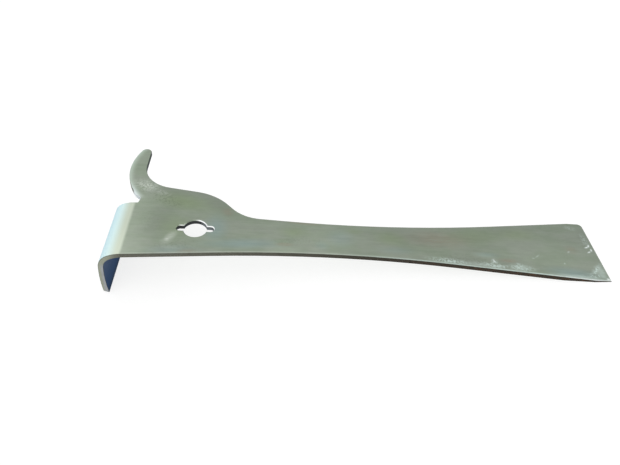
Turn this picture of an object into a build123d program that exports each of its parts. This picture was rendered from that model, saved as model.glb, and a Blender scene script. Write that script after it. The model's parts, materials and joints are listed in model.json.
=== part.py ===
from build123d import *
import os
from math import asin, atan2, cos, degrees, pi, radians, sin, sqrt, tan

# Hive tool cut from one strip of stainless steel, in millimetres.
# Worked flat: x runs from the bend to the chisel edge, y towards the hook, the top face is z = 0.

# Strip
thickness = 2.6
bend_x = 11.0
edge_x = 265.2
edge_break = 0.3
lower_edge_break = 0.12

# Head
head_near = 17.8
lip_far = 21.3
shoulder_y = 35.0
shoulder_slope = 0.15
shoulder_middle = (60.2, 23.8)
shoulder_angle = 48.0
shoulder_radius = 30.0
foot_radius = 22.0

# Handle and blade, whose sides bend once on each side of the strip, at the waist points
near_waist = (118.5, -8.4)
far_waist = (150.4, 9.6)
handle_slope = 0.05
near_waist_radius = 720.0
far_waist_radius = 660.0
blade_near = 21.1
blade_far = 22.9
tip_length = 9.0
flare_radius = 8.0
tip_corner_radius = 2.5
bevel_length = 26.0
bevel_edge = 0.4

# Hook
hook_inner_x = 10.85
hook_back_x = 1.8
hook_top_y = 70.5
hook_outer_radius = 41.9
hook_tip_radius = 2.9
throat_radius = 18.5
notch_start_y = 28.3
notch_depth = 1.7
notch_rise = 4.0
notch_radius = 1.5
notch_land = 0.8
notch_corner_radius = 0.6

# Nail puller
hole_radius = 6.2
hole_centre = (44.9, 3.2)
slot_length = 19.6
slot_width = 3.7
rim_chamfer = 0.45

# Bent scraper lip: three tangent arcs of the outer face
lead_radius = 17.5
lead_angle = 24.0
bend_radius = 8.2
bend_angle = 61.5
lip_radius = 81.0
lip_length = 18.7
lip_bevel = 1.8

# The near side of the head runs straight on into the lip
head_flare = (head_near + near_waist[1]) / (near_waist[0] - bend_x)


def crossing(point_a, slope_a, point_b, slope_b):
    """The point where two straight lines meet."""
    rise = point_b[1] - point_a[1] + slope_a * point_a[0] - slope_b * point_b[0]
    x = rise / (slope_a - slope_b)
    return (x, point_a[1] + slope_a * (x - point_a[0]))


def on_circle(centre, radius, angle):
    """The point of a circle at an angle in radians."""
    return (centre[0] + radius * cos(angle), centre[1] + radius * sin(angle))


def hook_circle():
    """Centres of the hook's tip and of the circle of its outer side, which touches the tip."""
    tip_centre = (hook_inner_x - hook_tip_radius, hook_top_y - hook_tip_radius)
    reach = hook_outer_radius - hook_tip_radius
    lean = tip_centre[0] - hook_tip_radius - hook_back_x
    side_centre = (hook_back_x + hook_outer_radius, tip_centre[1] - sqrt(lean * (2 * reach - lean)))
    return tip_centre, side_centre


def hook_edges(throat_corner):
    """The hook's inner side, its full-round tip and its curved outer side down to the notch."""
    tip_centre, side_centre = hook_circle()
    tip_angle = atan2(tip_centre[1] - side_centre[1], tip_centre[0] - side_centre[0])
    tip_start = (hook_inner_x, tip_centre[1])
    tip_end = on_circle(side_centre, hook_outer_radius, tip_angle)
    tip_middle = on_circle(tip_centre, hook_tip_radius, tip_angle / 2)
    notch_angle = pi + asin((side_centre[1] - notch_start_y) / hook_outer_radius)
    notch_start = on_circle(side_centre, hook_outer_radius, notch_angle)
    side_middle = on_circle(side_centre, hook_outer_radius, (tip_angle + notch_angle) / 2)
    inner_side = Line(throat_corner, tip_start)
    tip = ThreePointArc(tip_start, tip_middle, tip_end)
    outer_side = ThreePointArc(tip_end, side_middle, notch_start)
    return [inner_side, tip, outer_side]


def far_corners():
    """Corners of the hook's root, the shoulder and the foot where the shoulder meets the handle."""
    fall = -tan(radians(shoulder_angle))
    crown_start = (hook_inner_x + throat_radius, shoulder_y)
    throat = (hook_inner_x, shoulder_y + shoulder_slope * throat_radius)
    crown = crossing(crown_start, -shoulder_slope, shoulder_middle, fall)
    foot = crossing(far_waist, -handle_slope, shoulder_middle, fall)
    return throat, crown, foot


def plan_face():
    """The flat outline from the bend to the chisel edge, with its corners rounded."""
    throat, crown, foot = far_corners()
    notch = (bend_x + notch_depth, lip_far + notch_rise)
    notch_corner = (bend_x + notch_land, lip_far)
    near_flare = (edge_x - tip_length, -blade_near)
    far_flare = (edge_x - tip_length, blade_far)
    far_end = (edge_x, blade_far)
    sides = Polyline(
        notch,
        notch_corner,
        (bend_x, lip_far),
        (bend_x, -head_near),
        near_waist,
        near_flare,
        (edge_x, -blade_near),
        far_end,
        far_flare,
        far_waist,
        foot,
        crown,
        throat,
    )
    hook = hook_edges(throat)
    face = make_face([sides, *hook, Line(hook[-1] @ 1, notch)])
    corners = [
        (near_waist, near_waist_radius),
        (near_flare, flare_radius),
        (far_end, tip_corner_radius),
        (far_flare, flare_radius),
        (far_waist, far_waist_radius),
        (foot, foot_radius),
        (crown, shoulder_radius),
        (throat, throat_radius),
        (notch, notch_radius),
        (notch_corner, notch_corner_radius),
    ]
    for corner, radius in corners:
        vertex = face.vertices().sort_by_distance((*corner, 0))[0]
        face = fillet(vertex, radius)
    return face


def arc_chain(start, runs, inset):
    """Tangent arcs that curl downwards, each offset inwards by the inset."""
    arcs = []
    point = start
    heading = (-1, 0)
    for radius, angle in runs:
        arc = JernArc(point, heading, radius - inset, angle)
        arcs.append(arc)
        point = arc @ 1
        heading = arc % 1
    return arcs


def lip_arcs(length, inset):
    """The bend and the lip in side section, from the bend line to a length along the lip."""
    runs = [(lead_radius, lead_angle), (bend_radius, bend_angle), (lip_radius, degrees(length / lip_radius))]
    return arc_chain((bend_x, -inset), runs, inset)


def lip_profile():
    """Side section of the bend and the lip, with spare length for the bevel to be cut from."""
    outer = lip_arcs(lip_length + thickness, 0)
    inner = lip_arcs(lip_length + thickness, thickness)
    ends = [Line(outer[-1] @ 1, inner[-1] @ 1), Line(inner[0] @ 0, outer[0] @ 0)]
    return make_face([*outer, *inner, *ends])


def bent_lip():
    """The bend and the scraper lip, as wide as the head and flaring on the near side."""
    depth = 2 * (bend_radius + lip_length)
    width = lip_far + 2 * (head_near + head_flare * depth)
    lip = Pos(0, lip_far, 0) * extrude(Plane.XZ * lip_profile(), width)
    near_side = Plane.YZ * make_face(
        Polyline(
            (-head_near, thickness),
            (-head_near, -thickness),
            (-head_near - head_flare * (depth - thickness), -depth),
            (-2 * width, -depth),
            (-2 * width, thickness),
            close=True,
        )
    )
    outside = extrude(Pos(bend_x, 0, 0) * near_side, depth, dir=(-1, -head_flare, 0))
    return lip - outside


def lip_bevel_cut():
    """The slanting cut that leaves the lip's edge on its inner face."""
    outer_end = lip_arcs(lip_length - lip_bevel, 0)[-1] @ 1
    inner_end = lip_arcs(lip_length, thickness)[-1] @ 1
    slant = (inner_end - outer_end).normalized() * thickness
    fall = Vector(0, -4 * thickness)
    corners = [outer_end - slant, inner_end + slant, inner_end + slant + fall, outer_end - slant + fall]
    return extrude(Plane.XZ * make_face(Polyline(*corners, close=True)), hook_top_y, both=True)


def end_bevel():
    """The wedge ground off the underside at the chisel edge, run on past the edge."""
    past = edge_x + thickness
    rise = (thickness - bevel_edge) * thickness / bevel_length
    wedge = make_face(
        Polyline(
            (edge_x - bevel_length, -thickness),
            (past, rise - bevel_edge),
            (past, -2 * thickness),
            (edge_x - bevel_length, -2 * thickness),
            close=True,
        )
    )
    return extrude(Plane.XZ * wedge, blade_near + blade_far, both=True)


def nail_puller():
    """Round hole with a slot on each side, along the strip."""
    x, y = hole_centre
    opening = Circle(hole_radius) + SlotOverall(slot_length, slot_width)
    return Pos(x, y, -2 * thickness) * extrude(opening, 3 * thickness)


def level_face(body, height):
    """The level face of the strip at a height."""
    return body.faces().filter_by(Axis.Z).sort_by_distance((bend_x, 0, height))[0]


def broken_edges(body):
    """Chamfer the nail puller's upper rim and the outline's lower edge, and round its upper edge."""
    body = chamfer(level_face(body, 0).inner_wires()[0].edges(), rim_chamfer)
    body = fillet(cut_edges(level_face(body, 0)), edge_break)
    return chamfer(cut_edges(level_face(body, -thickness)), lower_edge_break)


def cut_edges(face):
    """The edges of a level face that lie on the outline's cut walls."""
    return ShapeList([edge for edge in face.outer_wire().edges() if not is_cross_line(edge)])


def is_cross_line(edge):
    """True for the straight lines across the strip: the bend line and the bevel's start."""
    return edge.geom_type == GeomType.LINE and abs((edge % 0).X) < 0.01


def resting_angle(body):
    """Tilt that brings the lip's edge and the chisel edge down to one level."""
    lip_edge = body.vertices().sort_by(Axis.Z)[0]
    run = edge_x - lip_edge.X
    return degrees(atan2(-bevel_edge - lip_edge.Z, run))


blank = extrude(plan_face(), -thickness) - nail_puller()
body = broken_edges(blank + bent_lip()) - end_bevel() - lip_bevel_cut()
tilted = Rot(0, resting_angle(body), 0) * body
box = tilted.bounding_box()
middle = box.center()
hive_tool = Pos(-middle.X, -middle.Y, -box.min.Z) * tilted
hive_tool.label = "hive_tool"

os.makedirs("parts", exist_ok=True)
export_step(hive_tool, "parts/hive_tool.step")
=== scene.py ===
import json
from math import atan2, cos, pi, radians, sin, sqrt
from types import SimpleNamespace

import bpy
from mathutils import Euler, Matrix, Vector

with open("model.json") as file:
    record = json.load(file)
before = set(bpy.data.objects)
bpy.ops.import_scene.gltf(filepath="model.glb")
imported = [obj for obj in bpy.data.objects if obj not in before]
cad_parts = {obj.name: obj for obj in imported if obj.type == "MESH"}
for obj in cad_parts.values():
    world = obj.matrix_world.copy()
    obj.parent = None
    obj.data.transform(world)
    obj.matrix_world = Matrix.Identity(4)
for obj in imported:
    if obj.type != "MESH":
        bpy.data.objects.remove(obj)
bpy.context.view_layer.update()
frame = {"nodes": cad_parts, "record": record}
tool = frame["nodes"]["hive_tool"]
mounts = {mount["name"]: mount for mount in frame["record"]["mounts"]}

MM = 0.001

# Places and sizes on the strip, in millimetres and as in the CAD: x runs along it from about the
# lip's outer face, y across it towards the hook and z up out of its top face. The hook is on the
# strip's far side, and sizes on its near side are distances from the middle line.
TOP_MOUNT_X = 130.0
BEND_X = 11.0
LIP_FAR = 21.3
HEAD_NEAR = 17.8
NEAR_WAIST = (118.5, -8.4)
NEAR_WAIST_RADIUS = 720.0
BLADE_NEAR = 21.1
END_X = 265.2
TIP_LENGTH = 9.0
HOOK_CENTRE = (43.7, 52.0)
HOOK_RADIUS = 41.9
HOOK_MARGIN = 4.0
HOLE_AREA = (24.0, 16.0)
NOTCH_CENTRE = (11.0, 27.0)
NOTCH_AREA = (10.0, 14.0)

# Relief of the surface, in millimetres
GRAIN_RELIEF = 0.004
HOOK_ROLL_DROP = 0.2

# Roughness of the brushed faces, and what cut edges and residue add to it
BRUSHED_ROUGHNESS = 0.34
CUT_ROUGHNESS = 0.15
RESIDUE_ROUGHNESS = 0.2

# The brushing runs along the strip, so the tangent of its anisotropy runs across it
BRUSHED_ANISOTROPY = 0.75
ACROSS_STRIP = (0.02, 1.0)

# Strength of some marks, from 0 to 1: how much less metallic residue is, how much darker the dark
# spots are and how strong the painted highlight on the rim is along the slot on the lip's side
RESIDUE_DULLING = 0.8
SPOT_DARKENING = 0.22
SLOT_HIGHLIGHT = 0.6

# Distances from the near outline between which the worn edge and its painted highlight set in
WORN_HIGHLIGHT_START = 1.25
WORN_HIGHLIGHT_FULL = 0.6

# Camera, placed in the strip's own frame in millimetres and degrees
CAMERA_PLACE = (81.575, -207.973, 204.125)
CAMERA_TURN = (46.079, -5.358, -1.350)
CAMERA_LENS = 31.935
CAMERA_SENSOR = 36.0

# Brightness of the room that lights the tool
ROOM_SIDES = 0.72
ROOM_TOP = 0.87
ROOM_NEAR = 1.1
ROOM_RIGHT = 0.68
ROOM_LEFT = 1.15

# Radius and height of the floor's rings in metres, from the flat out to the wall
FLOOR_RINGS = [(1.5, 0.0), (1.6, 0.0), (1.9, 0.05), (2.1, 0.25), (2.2, 0.6), (2.2, 1.2)]
FLOOR_STEPS = 96

# The floor lights the tool with its full grey; where it is looked at, a glow makes it white
FLOOR_GREY = 0.8
FLOOR_SEEN_GREY = 0.28
FLOOR_GLOW = 0.8

# Colour sockets of Blender's mix node: its inputs A and B, and its output
MIX_A, MIX_B, MIX_RESULT = 6, 7, 2

# How far one seed moves a noise
SEED_STEP = (17.3, 5.9, 3.1)

# Marks on the top face: x, y, length, width, turn in degrees, strength
FILM = [
    (33.0, -3.8, 13, 6.5, 58, 0.70),
    (31.6, -5.8, 5.5, 4.6, 40, 0.90),
    (31.5, -7.0, 9, 7.0, 30, 0.40),
    (34.0, -11.5, 16, 4.0, 0, 0.22),
    (218.0, -14.5, 14, 6.0, 5, 0.60),
    (195.0, -13.5, 40, 4.0, -6, 0.40),
    (249.0, -19.4, 46, 5.5, -5, 0.80),
    (262.0, -15.5, 8, 16.0, -8, 0.70),
]
SPECKLE = [
    (13.5, 36.0, 22, 13.0, -25, 0.95),
    (22.0, 31.5, 20, 6.0, -25, 0.35),
    (180.0, -11.8, 36, 5.5, -6, 0.90),
    (203.0, -13.6, 30, 5.5, -6, 0.90),
    (204.0, -11.0, 5, 7.0, 0, 0.90),
    (218.0, -14.5, 22, 7.0, -4, 0.90),
    (217.0, -13.0, 8, 6.0, 0, 1.00),
    (252.0, -19.0, 30, 5.0, -5, 0.60),
    (260.0, -13.5, 16, 5.5, 51, 1.00),
    (257.5, -17.8, 13, 5.5, -5, 0.95),
    (257.0, 19.0, 10, 5.0, -20, 0.35),
    (262.0, 9.0, 5, 16.0, 0, 0.50),
]
NICKS = [
    (262.6, 4.8, 4.2, 2.0, 60, 1.0),
    (261.0, 3.6, 4.2, 1.7, 20, 1.0),
    (263.0, 1.6, 3.8, 1.9, 80, 1.0),
    (261.2, 0.0, 4.4, 1.6, 30, 0.9),
    (229.5, -5.2, 6.2, 1.3, 40, 0.35),
    (226.8, -6.8, 2.5, 1.5, 0, 0.4),
    (249.0, -0.6, 2.8, 1.5, 30, 0.5),
    (243.5, -9.6, 2.2, 1.5, 60, 0.5),
    (204.0, -10.2, 1.7, 4.9, 10, 0.8),
    (264.0, -19.8, 4.2, 3.0, 0, 1.0),
]
BLUISH_AREAS = [
    (55.5, 4.0, 18, 30, 0, 0.8),
    (70.0, -6.5, 62, 11, 4, 0.8),
    (36.0, -13.0, 40, 10, 5, 0.5),
    (122.0, 1.0, 22, 20, 0, 0.45),
    (112.0, -5.0, 12, 10, 0, 0.4),
    (152.0, -6.0, 30, 8, 0, 0.35),
    (201.0, -6.0, 20, 6, 0, 0.5),
    (246.0, -16.5, 44, 11, -6, 0.8),
]
OLIVE_AREAS = [
    (36.0, 24.0, 44, 20, -12, 0.8),
    (34.0, 4.0, 26, 26, 0, 0.5),
    (97.0, 4.0, 24, 12, 0, 0.6),
    (130.0, 6.5, 14, 7, 0, 0.4),
    (149.0, 3.0, 26, 16, 0, 0.6),
    (200.0, 8.0, 50, 18, 2, 0.45),
    (222.0, 11.0, 38, 15, 4, 0.55),
    (90.0, -4.0, 16, 8, 0, 0.5),
]
BROWN_AREAS = [
    (61.0, 17.5, 11, 9, -40, 0.6),
    (43.0, -13.5, 16, 5, 4, 0.5),
    (92.0, -5.5, 14, 4, 0, 0.7),
    (176.0, 4.0, 54, 20, 0, 0.6),
    (212.0, -9.5, 15, 4.5, 0, 0.8),
    (251.0, 1.0, 11, 9, 0, 0.5),
    (103.0, 11.0, 30, 3, -4, 0.5),
]
DARK_SPOTS = [
    (26.0, 25.0, 34, 14, -25, 1.0),
    (20.0, 8.0, 20, 30, 0, 0.3),
    (36.0, -10.0, 40, 14, 5, 0.5),
    (100.0, -3.0, 50, 12, 5, 0.4),
    (192.0, -10.0, 60, 10, -6, 0.5),
    (262.0, 8.0, 10, 30, 0, 0.5),
]
# Areas where the top face's colour is only made lighter or darker
LIGHTER_AREAS = [
    (234.0, -6.0, 96, 50, -4, 0.15),
    (112.0, -3.0, 44, 40, 0, 0.10),
    (92.0, -10.0, 34, 12, 4, 0.12),
    (200.0, -7.0, 22, 9, -6, 0.16),
]
DARKER_AREAS = [
    (24.0, 6.0, 26, 42, 0, 0.11),
    (57.0, 23.0, 34, 20, -35, 0.13),
    (158.0, 4.0, 70, 26, 0, 0.08),
]


def srgb(red, green, blue):
    """Linear colour from 8-bit display values."""

    def linear(value):
        value /= 255
        return value / 12.92 if value <= 0.04045 else ((value + 0.055) / 1.055) ** 2.4

    return (linear(red), linear(green), linear(blue), 1.0)


def grey(level):
    """Neutral colour of a linear brightness."""
    return (level, level, level, 1.0)


# Brushed faces
GREEN_STEEL = srgb(149, 161, 143)
GREY_STEEL = srgb(155, 164, 150)
OLIVE = srgb(146, 162, 130)
BLUISH = srgb(146, 165, 160)
BROWN = srgb(158, 153, 136)
# Painted highlight on the hook's rolled outer margin, brightest at its root
HOOK_MARGIN_HIGHLIGHT_ROOT = srgb(228, 240, 238)
HOOK_MARGIN_HIGHLIGHT_UPPER = srgb(190, 205, 192)

# Film, speckles, nicks, and the worn near edge with its painted highlight
HEAD_RESIDUE = srgb(206, 214, 202)
BLADE_RESIDUE = srgb(208, 226, 218)
FRESH_METAL_AND_HIGHLIGHT = srgb(246, 252, 250)

# Cut edges, with painted reflection, shade and highlights
# The sheared edges' own duller tone, darkened further as a painted dark reflection
HEAD_EDGE_TONE_AND_REFLECTION = srgb(104, 104, 94)
BLADE_EDGE_TONE_AND_REFLECTION = srgb(66, 62, 54)
RUST = srgb(88, 64, 48)
# Painted reflection on the lip's cut side, lighter low on its inside, with a painted shade along
# its outline
LIP_SIDE_REFLECTION = srgb(162, 166, 150)
LIP_SIDE_INNER_REFLECTION = srgb(168, 171, 174)
LIP_SIDE_CONTOUR_SHADE = srgb(96, 100, 90)
# Painted shade on the hook's inner side
HOOK_INNER_SIDE_SHADE = srgb(66, 70, 62)
# Painted highlight on the notch wall
NOTCH_EDGE_HIGHLIGHT = srgb(238, 244, 244)
# Painted shade on the hole's walls, less of it along the slot
HOLE_WALL_SHADE = srgb(62, 64, 64)
SLOT_WALL_SHADE = srgb(112, 118, 120)
# Painted highlight on the hole's rim
RIM_HIGHLIGHT = srgb(252, 254, 254)

# Painted reflections on the bend and the lip: bright on the bend and its outer face, dark blue on
# its inner face
BEND_PALE_REFLECTION = srgb(196, 205, 188)
BEND_BRIGHT_REFLECTION = srgb(226, 253, 255)
LIP_OUTER_REFLECTION = srgb(172, 182, 174)
# Painted dark blue reflection on the lip's inner face, darker at its end
LIP_INNER_REFLECTION = srgb(0, 47, 86)
LIP_INNER_REFLECTION_END = srgb(0, 34, 64)

# Tint of the steel's reflections towards grazing angles
GRAZING_TINT = (0.64, 0.68, 0.75, 1.0)


def strip_matrix():
    """From the row frame in metres to the strip's own frame in millimetres."""
    axis = Vector(mounts["top_face"]["axis"])
    place = Vector(mounts["top_face"]["pos_m"])
    tilt = Matrix.Rotation(-atan2(axis.x, axis.z), 4, "Y")
    shift = Matrix.Translation((TOP_MOUNT_X, 0, 0))
    return shift @ tilt @ Matrix.Scale(1 / MM, 4) @ Matrix.Translation(-place)


class Graph:
    """Builds shader nodes as expressions: each method adds a node and returns its output socket."""

    def __init__(self, tree):
        self.tree = tree
        tree.nodes.clear()

    def node(self, kind, inputs=None, **settings):
        """A new node, whose inputs are numbers, colours or other nodes' output sockets."""
        node = self.tree.nodes.new(kind)
        for name, value in settings.items():
            setattr(node, name, value)
        for name, value in (inputs or {}).items():
            self.feed(node.inputs[name], value)
        return node

    def feed(self, socket, value):
        if isinstance(value, bpy.types.NodeSocket):
            self.tree.links.new(value, socket)
        else:
            socket.default_value = value

    def math(self, operation, a, b=0.0, c=0.0, clamp=False):
        inputs = {0: a, 1: b, 2: c}
        return self.node("ShaderNodeMath", inputs, operation=operation, use_clamp=clamp).outputs[0]

    def add(self, a, b):
        return self.math("ADD", a, b)

    def minus(self, a, b):
        return self.math("SUBTRACT", a, b)

    def times(self, *values):
        result = values[0]
        for value in values[1:]:
            result = self.math("MULTIPLY", result, value)
        return result

    def inverse(self, a):
        return self.math("SUBTRACT", 1.0, a)

    def most(self, a, b):
        return self.math("MAXIMUM", a, b)

    def ramp(self, value, low, high, to_low=0.0, to_high=1.0):
        """Smooth step from to_low at low to to_high at high."""
        inputs = {
            "Value": value,
            "From Min": low,
            "From Max": high,
            "To Min": to_low,
            "To Max": to_high,
        }
        node = self.node("ShaderNodeMapRange", inputs, interpolation_type="SMOOTHSTEP")
        return node.outputs["Result"]

    def mix(self, factor, a, b):
        node = self.node("ShaderNodeMix", data_type="RGBA")
        self.feed(node.inputs[0], factor)
        self.feed(node.inputs[MIX_A], a)
        self.feed(node.inputs[MIX_B], b)
        return node.outputs[MIX_RESULT]

    def scale(self, colour, factor):
        inputs = {0: colour, "Scale": factor}
        return self.node("ShaderNodeVectorMath", inputs, operation="SCALE").outputs[0]

    def split(self, vector):
        return self.node("ShaderNodeSeparateXYZ", {0: vector}).outputs

    def moved(self, vector, location=(0, 0, 0), rotation=(0, 0, 0), scale=(1, 1, 1), kind="POINT"):
        """The vector scaled, turned and shifted, or with the kind TEXTURE the other way round."""
        inputs = {"Vector": vector, "Location": location, "Rotation": rotation, "Scale": scale}
        return self.node("ShaderNodeMapping", inputs, vector_type=kind).outputs[0]

    def noise(self, vector, scale, detail=2.0, roughness=0.5, seed=0.0):
        """Noise about 0.5, with its scales in features per unit of the vector."""
        away = tuple(seed * step for step in SEED_STEP)
        place = self.moved(vector, location=away, scale=scale)
        inputs = {"Vector": place, "Scale": 1.0, "Detail": detail, "Roughness": roughness}
        return self.node("ShaderNodeTexNoise", inputs).outputs[0]

    def patch(self, plan, x, y, length, width, turn=0.0, soft=1.0):
        """Mask of a soft oval on the strip, 1 in its middle and 0 at its outline."""
        size = (length / 2, width / 2, 1)
        here = self.moved(plan, (x, y, 0), (0, 0, radians(turn)), size, "TEXTURE")
        within = self.node("ShaderNodeTexGradient", {0: here}, gradient_type="SPHERICAL")
        return self.ramp(within.outputs["Fac"], 0.0, soft)

    def patches(self, plan, places):
        """The strongest of several patches, each given as in the lists of marks."""
        total = 0.0
        for x, y, length, width, turn, strength in places:
            patch = self.patch(plan, x, y, length, width, turn)
            total = self.most(total, self.times(patch, strength))
        return total


def near_edge(graph, x):
    """The y of the strip's near outline at x: two straight sides and the arc that joins them."""
    waist_x, waist_y = NEAR_WAIST
    head_slope = (waist_y + HEAD_NEAR) / (waist_x - BEND_X)
    blade_slope = (-BLADE_NEAR - waist_y) / (END_X - TIP_LENGTH - waist_x)
    head_span = sqrt(1 + head_slope**2)
    blade_span = sqrt(1 + blade_slope**2)
    past_waist = NEAR_WAIST_RADIUS * (head_span - blade_span) / (head_slope - blade_slope)
    centre_x = waist_x + past_waist
    centre_y = waist_y + head_slope * past_waist - NEAR_WAIST_RADIUS * head_span
    arc_start = centre_x - NEAR_WAIST_RADIUS * head_slope / head_span
    arc_end = centre_x - NEAR_WAIST_RADIUS * blade_slope / blade_span

    from_waist = graph.minus(x, waist_x)
    head = graph.math("MULTIPLY_ADD", from_waist, head_slope, waist_y)
    blade = graph.math("MULTIPLY_ADD", from_waist, blade_slope, waist_y)
    straight = graph.most(graph.math("MINIMUM", head, blade), -BLADE_NEAR)
    offset = graph.minus(x, centre_x)
    rise = graph.math("SQRT", graph.minus(NEAR_WAIST_RADIUS**2, graph.times(offset, offset)))
    arc = graph.add(rise, centre_y)
    after_start = graph.math("GREATER_THAN", x, arc_start)
    before_end = graph.math("LESS_THAN", x, arc_end)
    on_arc = graph.times(after_start, before_end)
    return graph.add(straight, graph.times(on_arc, graph.minus(arc, straight)))


def strip_places(graph):
    """Where on the strip a point is, and which way the surface faces there."""
    matrix = strip_matrix()
    turn = matrix.to_euler()
    row = graph.node("ShaderNodeTexCoord").outputs["Object"]
    place = graph.moved(row, location=matrix.translation, rotation=turn, scale=(1 / MM,) * 3)
    x, y, z = graph.split(place)
    plan = graph.node("ShaderNodeCombineXYZ", {0: x, 1: y}).outputs[0]
    normal = graph.node("ShaderNodeNewGeometry").outputs["Normal"]
    facing_x, facing_y, facing_z = graph.split(graph.moved(normal, rotation=turn))
    return SimpleNamespace(
        place=place,
        plan=plan,
        x=x,
        y=y,
        z=z,
        facing_x=facing_x,
        facing_y=facing_y,
        facing_z=facing_z,
    )


def mark_surfaces(graph, at):
    """Add masks that are 1 on one kind of surface, and what else tells the surfaces apart."""
    at.sideways = graph.math("ABSOLUTE", at.facing_y)
    beside_hook = graph.ramp(at.y, LIP_FAR + 0.6, LIP_FAR + 0.1)
    at.lip = graph.times(graph.ramp(at.x, BEND_X + 0.1, BEND_X - 0.1), beside_hook)
    lip_cut = graph.times(at.lip, graph.ramp(at.sideways, 0.3, 0.5))
    hole = strip_matrix() @ Vector(mounts["hang_hole"]["pos_m"])
    at.past_hole = graph.minus(at.x, hole.x)
    at.in_hole = graph.patch(at.plan, hole.x, hole.y, *HOLE_AREA, soft=0.1)
    off_wall = graph.ramp(at.facing_z, 0.3, 0.5)
    off_level = graph.ramp(at.facing_z, 0.95, 0.85)
    at.rim = graph.times(at.in_hole, off_wall, off_level)
    off_top = graph.ramp(at.facing_z, 0.93, 0.75)
    off_underside = graph.ramp(at.facing_z, -0.97, -0.9)
    upright = graph.times(off_top, off_underside, graph.inverse(at.rim))
    at.cut = graph.math("ADD", lip_cut, graph.times(graph.inverse(at.lip), upright), clamp=True)
    faces_in = graph.ramp(graph.minus(at.facing_x, at.facing_z), 0.1, 0.4)
    below_bend = graph.ramp(at.x, BEND_X + 1, BEND_X - 3)
    at.lip_inner = graph.times(below_bend, faces_in, beside_hook, graph.inverse(at.cut))
    at.top = graph.times(graph.ramp(at.facing_z, 0.9, 0.97), graph.inverse(at.lip))


def strip_noises(graph, place):
    """Noises that the looks share, with their scales in features per millimetre."""
    return SimpleNamespace(
        grain=graph.noise(place, (0.02, 3.2, 0.02), detail=3, roughness=0.65),
        coarse=graph.noise(place, (0.012, 0.6, 0.012), seed=1),
        cloud=graph.noise(place, (0.045, 0.09, 0.045), detail=3, roughness=0.6, seed=2),
        speck=graph.noise(place, (0.9, 0.9, 0.9), detail=3, roughness=0.7, seed=3),
        streak=graph.noise(place, (0.25, 1.6, 0.25), roughness=0.6, seed=4),
        fracture=graph.noise(place, (0.6, 0.6, 1.6), detail=3, roughness=0.65, seed=5),
        blotch=graph.noise(place, (0.13, 0.4, 0.13), roughness=0.6, seed=6),
    )


def brushed_steel(graph, at, noise):
    """Colour of the brushed faces, with patches of other casts, lighter and darker areas, and
    painted light towards the bend.
    """
    steel = graph.mix(graph.ramp(noise.cloud, 0.35, 0.65), GREEN_STEEL, GREY_STEEL)
    steel = graph.mix(graph.patches(at.plan, OLIVE_AREAS), steel, OLIVE)
    steel = graph.mix(graph.patches(at.plan, BLUISH_AREAS), steel, BLUISH)
    brown = graph.times(graph.patches(at.plan, BROWN_AREAS), graph.ramp(noise.streak, 0.25, 0.5))
    steel = graph.mix(brown, steel, BROWN)

    lines = graph.ramp(noise.grain, 0.2, 0.8, -0.05, 0.05)
    value = graph.add(lines, graph.ramp(noise.coarse, 0.3, 0.7, 0.985, 1.015))
    value = graph.times(value, graph.ramp(noise.blotch, 0.3, 0.7, 0.965, 1.035))
    near_side = graph.ramp(at.y, 26, -16, 0.96, 1.04)
    # Brighter towards the bend: painted light
    light_near_bend = graph.ramp(at.x, 32, BEND_X, 1.0, 1.2)
    near_hook = graph.ramp(at.y, 24, 32, 1.0, 0.9)
    value = graph.times(value, near_side, light_near_bend, near_hook)
    spots = graph.times(graph.patches(at.plan, DARK_SPOTS), graph.ramp(noise.speck, 0.5, 0.4))
    value = graph.times(value, graph.inverse(graph.times(spots, SPOT_DARKENING)))
    lighter = graph.add(1.0, graph.patches(at.plan, LIGHTER_AREAS))
    darker = graph.inverse(graph.patches(at.plan, DARKER_AREAS))
    # Brighter towards the bend's near corner: painted light
    light_at_bend_corner = graph.ramp(graph.add(at.x, at.y), 12, -8, 1.0, 1.05)
    value = graph.times(value, lighter, darker, light_at_bend_corner)
    return graph.scale(steel, value)


def hook_roll(graph, at):
    """How far the hook's outer margin is rolled over, 1 at its edge and 0 past the margin."""
    from_centre = graph.moved(at.plan, location=(-HOOK_CENTRE[0], -HOOK_CENTRE[1], 0))
    reach = graph.node("ShaderNodeVectorMath", {0: from_centre}, operation="LENGTH")
    inside = graph.minus(HOOK_RADIUS, reach.outputs["Value"])
    margins_in = graph.times(inside, 1 / HOOK_MARGIN)
    roll = graph.math("POWER", graph.math("SUBTRACT", 1.0, margins_in, clamp=True), 2.0)
    on_hook = graph.times(graph.ramp(at.x, 22, 16), graph.ramp(at.y, 24, 28))
    return graph.times(roll, on_hook)


def residue(graph, at, noise):
    """Mask and colour of the marks on the top face and of the near edge's wear and painted
    highlight.
    """
    film = graph.times(graph.patches(at.plan, FILM), graph.ramp(noise.streak, 0.25, 0.7, 0.5, 1.0))
    speckle = graph.times(graph.patches(at.plan, SPECKLE), graph.ramp(noise.speck, 0.4, 0.58))
    nicks = graph.times(graph.patches(at.plan, NICKS), graph.ramp(noise.speck, 0.25, 0.4))
    marks = graph.times(graph.most(film, graph.most(speckle, nicks)), at.top)

    # The near edge is worn, with a painted highlight along it, more so towards the chisel
    inside = graph.minus(at.y, near_edge(graph, at.x))
    streaked = graph.ramp(noise.streak, 0.2, 0.6, 0.6, 1.0)
    worn_and_highlight = graph.times(graph.ramp(inside, WORN_HIGHLIGHT_START, WORN_HIGHLIGHT_FULL), streaked)
    faces_up = graph.ramp(at.facing_z, 0.75, 0.9)
    worn_and_highlight = graph.times(worn_and_highlight, graph.ramp(at.x, 90, 255, 0.35, 1.0), graph.inverse(at.lip), faces_up)
    fresh_and_highlight = graph.most(nicks, graph.times(worn_and_highlight, graph.ramp(at.x, 225, 255, 0.0, 0.8)))
    colour = graph.mix(graph.ramp(at.x, 90, 170), HEAD_RESIDUE, BLADE_RESIDUE)
    return graph.most(marks, worn_and_highlight), graph.mix(fresh_and_highlight, colour, FRESH_METAL_AND_HIGHLIGHT)


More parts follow.
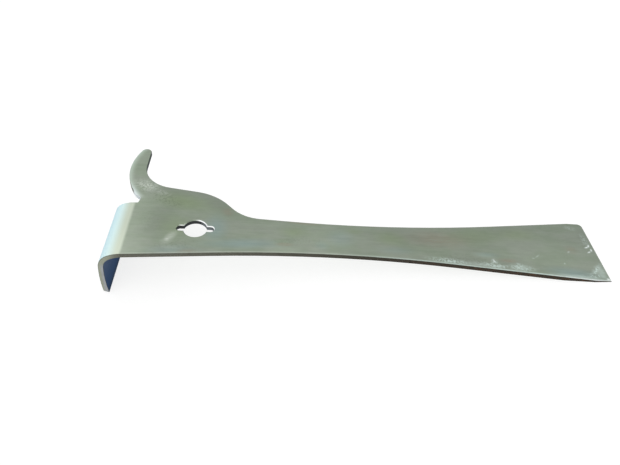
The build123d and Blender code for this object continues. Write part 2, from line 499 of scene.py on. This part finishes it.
def cut_edges(graph, at, noise):
    """Colour of the sheared edges, the lip's cut side and the walls of the hole, with painted
    reflection, shade and highlights.
    """
    rust = graph.times(graph.ramp(noise.fracture, 0.45, 0.7), graph.ramp(at.x, 120, 230))
    # Painted dark reflection on the sheared edges, darker towards the blade
    edge = graph.mix(graph.ramp(at.x, 20, 170), HEAD_EDGE_TONE_AND_REFLECTION, BLADE_EDGE_TONE_AND_REFLECTION)
    edge = graph.mix(rust, edge, RUST)
    edge = graph.scale(edge, graph.ramp(noise.fracture, 0.3, 0.7, 0.85, 1.15))

    # Painted reflection on the lip's cut side, lighter low on its inside
    low_inside = graph.times(graph.ramp(at.x, -0.4, 1.0), graph.ramp(at.z, -6.0, -9.0))
    lip_side_light_and_shade = graph.mix(low_inside, LIP_SIDE_REFLECTION, LIP_SIDE_INNER_REFLECTION)
    # Painted shade along the outline of the lip's cut side
    contour = graph.times(graph.ramp(at.sideways, 0.99, 0.93), at.lip)
    lip_side_light_and_shade = graph.mix(contour, lip_side_light_and_shade, LIP_SIDE_CONTOUR_SHADE)
    edge = graph.mix(graph.ramp(at.x, BEND_X, BEND_X - 9), edge, lip_side_light_and_shade)

    # Painted shade on the hook's inner side
    faces_chisel = graph.ramp(at.facing_x, 0.25, 0.6)
    hook_inner_shade = graph.times(faces_chisel, graph.ramp(at.y, 36, 42), graph.ramp(at.x, 16, 13))
    edge = graph.mix(hook_inner_shade, edge, HOOK_INNER_SIDE_SHADE)
    # Painted highlight on the notch wall
    notch = graph.patch(at.plan, *NOTCH_CENTRE, *NOTCH_AREA, soft=0.3)
    edge = graph.mix(notch, edge, NOTCH_EDGE_HIGHLIGHT)
    # Painted shade on the hole's walls, less of it along the slot
    hole_wall_shade = graph.mix(graph.ramp(at.past_hole, 1.1, 5.1), HOLE_WALL_SHADE, SLOT_WALL_SHADE)
    return graph.mix(at.in_hole, edge, hole_wall_shade)


def lip_bend_reflection(graph, at):
    """Mask and colour of the painted reflection on the bend and the lip's outer face, brightest
    where the bend is tight.
    """
    pale = graph.scale(BEND_PALE_REFLECTION[:3], graph.ramp(at.y, 12, -18, 1.0, 1.16))
    bright = graph.mix(graph.ramp(at.x, BEND_X - 2, BEND_X - 9), pale, BEND_BRIGHT_REFLECTION)
    colour = graph.mix(graph.ramp(at.z, -8.0, -24.0), bright, LIP_OUTER_REFLECTION)
    bent = graph.ramp(at.x, BEND_X + 0.2, BEND_X - 1.5)
    return graph.times(bent, graph.inverse(at.lip_inner), at.lip), colour


def rim_highlight(graph, at):
    """Mask of the painted highlight on the hole's rim: the chisel's side, and less along the other
    slot.
    """
    chisel_side = graph.ramp(at.past_hole, -0.9, 2.1)
    slot_start = graph.ramp(at.past_hole, -9.4, -7.4)
    slot_end = graph.ramp(at.past_hole, -4.9, -6.9)
    slot = graph.times(slot_end, slot_start, SLOT_HIGHLIGHT)
    return graph.times(at.rim, graph.most(chisel_side, slot))


def steel_material():
    """Brushed steel with its marks, cut edges and painted light: reflections on the bend, the lip
    and the cut edges, shade on the walls, highlights on the hook's margin, the rim and the near
    edge.
    """
    material = bpy.data.materials.new("brushed stainless steel")
    material.use_nodes = True
    graph = Graph(material.node_tree)
    at = strip_places(graph)
    mark_surfaces(graph, at)
    noise = strip_noises(graph, at.place)

    colour = brushed_steel(graph, at, noise)
    # The hook's rolled margin gets a painted highlight, and the same mask lowers its relief further
    # down
    roll = hook_roll(graph, at)
    margin = graph.mix(graph.ramp(at.y, 40, 30), HOOK_MARGIN_HIGHLIGHT_UPPER, HOOK_MARGIN_HIGHLIGHT_ROOT)
    colour = graph.mix(roll, colour, margin)
    # Painted reflection on the bend and the lip's outer face
    bend_reflection, bend_reflection_colour = lip_bend_reflection(graph, at)
    colour = graph.mix(bend_reflection, colour, bend_reflection_colour)
    # Painted highlight on the hole's rim
    colour = graph.mix(rim_highlight(graph, at), colour, RIM_HIGHLIGHT)
    colour = graph.mix(at.cut, colour, cut_edges(graph, at, noise))
    # Painted dark blue reflection on the lip's inner face
    lip_inner = graph.mix(graph.ramp(at.z, -23.0, -25.5), LIP_INNER_REFLECTION, LIP_INNER_REFLECTION_END)
    colour = graph.mix(at.lip_inner, colour, lip_inner)
    # Marks on the top face, and the worn near edge with its painted highlight
    marks, marks_and_highlight_colour = residue(graph, at, noise)
    colour = graph.mix(marks, colour, marks_and_highlight_colour)

    roughness = graph.add(graph.ramp(noise.grain, 0.2, 0.8, -0.03, 0.03), BRUSHED_ROUGHNESS)
    roughness = graph.add(roughness, graph.times(at.cut, CUT_ROUGHNESS))
    roughness = graph.math("ADD", roughness, graph.times(marks, RESIDUE_ROUGHNESS), clamp=True)
    grain_relief = graph.times(noise.grain, GRAIN_RELIEF)
    relief = graph.math("MULTIPLY_ADD", roll, -HOOK_ROLL_DROP, grain_relief)
    bump = graph.node("ShaderNodeBump", {"Strength": 1.0, "Distance": MM, "Height": relief})
    across = graph.node("ShaderNodeCombineXYZ", dict(enumerate(ACROSS_STRIP)))
    inputs = {
        "Base Color": colour,
        "Metallic": graph.math("SUBTRACT", 1.0, graph.times(marks, RESIDUE_DULLING), clamp=True),
        "Roughness": roughness,
        "Specular Tint": GRAZING_TINT,
        "Anisotropic": BRUSHED_ANISOTROPY,
        "Tangent": across.outputs[0],
        "Normal": bump.outputs[0],
    }
    shader = graph.node("ShaderNodeBsdfPrincipled", inputs)
    graph.node("ShaderNodeOutputMaterial", {"Surface": shader.outputs[0]})
    return material


def studio_world():
    """A grey room, brighter above and on the near side, with a bright left and a dim right wall."""
    world = bpy.data.worlds.new("studio")
    bpy.context.scene.world = world
    world.use_nodes = True
    graph = Graph(world.node_tree)
    x, y, z = graph.split(graph.node("ShaderNodeTexCoord").outputs["Generated"])
    colour = graph.mix(graph.ramp(z, 0.4, 0.8), grey(ROOM_SIDES), grey(ROOM_TOP))
    colour = graph.mix(graph.ramp(y, 0.3, 0.0), colour, grey(ROOM_NEAR))
    colour = graph.mix(graph.ramp(x, 0.15, 0.55), colour, grey(ROOM_RIGHT))
    colour = graph.mix(graph.ramp(x, -0.19, -0.25), colour, grey(ROOM_LEFT))
    background = graph.node("ShaderNodeBackground", {"Color": colour, "Strength": 1.0})
    graph.node("ShaderNodeOutputWorld", {"Surface": background.outputs[0]})


def floor_material():
    """White where it is looked at, with the object's soft shadow on it."""
    material = bpy.data.materials.new("white floor")
    material.use_nodes = True
    graph = Graph(material.node_tree)
    path = graph.node("ShaderNodeLightPath").outputs
    seen = graph.most(path["Is Camera Ray"], path["Is Glossy Ray"])
    seen = graph.most(seen, path["Is Transmission Ray"])
    matt_colour = graph.mix(seen, grey(FLOOR_GREY), grey(FLOOR_SEEN_GREY))
    matt = graph.node("ShaderNodeBsdfDiffuse", {"Color": matt_colour})
    strength = graph.times(seen, FLOOR_GLOW)
    glow = graph.node("ShaderNodeEmission", {"Color": grey(1.0), "Strength": strength})
    total = graph.node("ShaderNodeAddShader", {0: matt.outputs[0], 1: glow.outputs[0]})
    graph.node("ShaderNodeOutputMaterial", {"Surface": total.outputs[0]})
    return material


def add_floor():
    """A round floor whose rim curves up into a wall, so that every view ends on it."""
    verts = []
    for radius, height in FLOOR_RINGS:
        for step in range(FLOOR_STEPS):
            angle = 2 * pi * step / FLOOR_STEPS
            verts.append((radius * cos(angle), radius * sin(angle), height))
    faces = [list(range(FLOOR_STEPS))]
    for ring in range(len(FLOOR_RINGS) - 1):
        for step in range(FLOOR_STEPS):
            here = ring * FLOOR_STEPS + step
            beside = ring * FLOOR_STEPS + (step + 1) % FLOOR_STEPS
            faces.append([here, here + FLOOR_STEPS, beside + FLOOR_STEPS, beside])
    mesh = bpy.data.meshes.new("floor")
    mesh.from_pydata(verts, [], faces)
    mesh.materials.append(floor_material())
    for polygon in mesh.polygons:
        polygon.use_smooth = len(polygon.vertices) == 4
    floor = bpy.data.objects.new("floor", mesh)
    bpy.context.scene.collection.objects.link(floor)


def add_camera():
    """A camera that looks down on the strip from its near side."""
    camera = bpy.data.cameras.new("camera")
    camera.lens = CAMERA_LENS
    camera.sensor_width = CAMERA_SENSOR
    camera.clip_start = 0.01
    turn = Euler([radians(angle) for angle in CAMERA_TURN]).to_matrix().to_4x4()
    on_strip = Matrix.Translation(CAMERA_PLACE) @ turn
    placed = strip_matrix().inverted() @ on_strip
    item = bpy.data.objects.new("camera", camera)
    item.location = placed.translation
    item.rotation_euler = placed.to_euler()
    bpy.context.scene.collection.objects.link(item)
    bpy.context.scene.camera = item


material = steel_material()
for slot in tool.material_slots:
    slot.material = material
studio_world()
add_floor()
add_camera()
bpy.context.scene.view_settings.view_transform = "Standard"
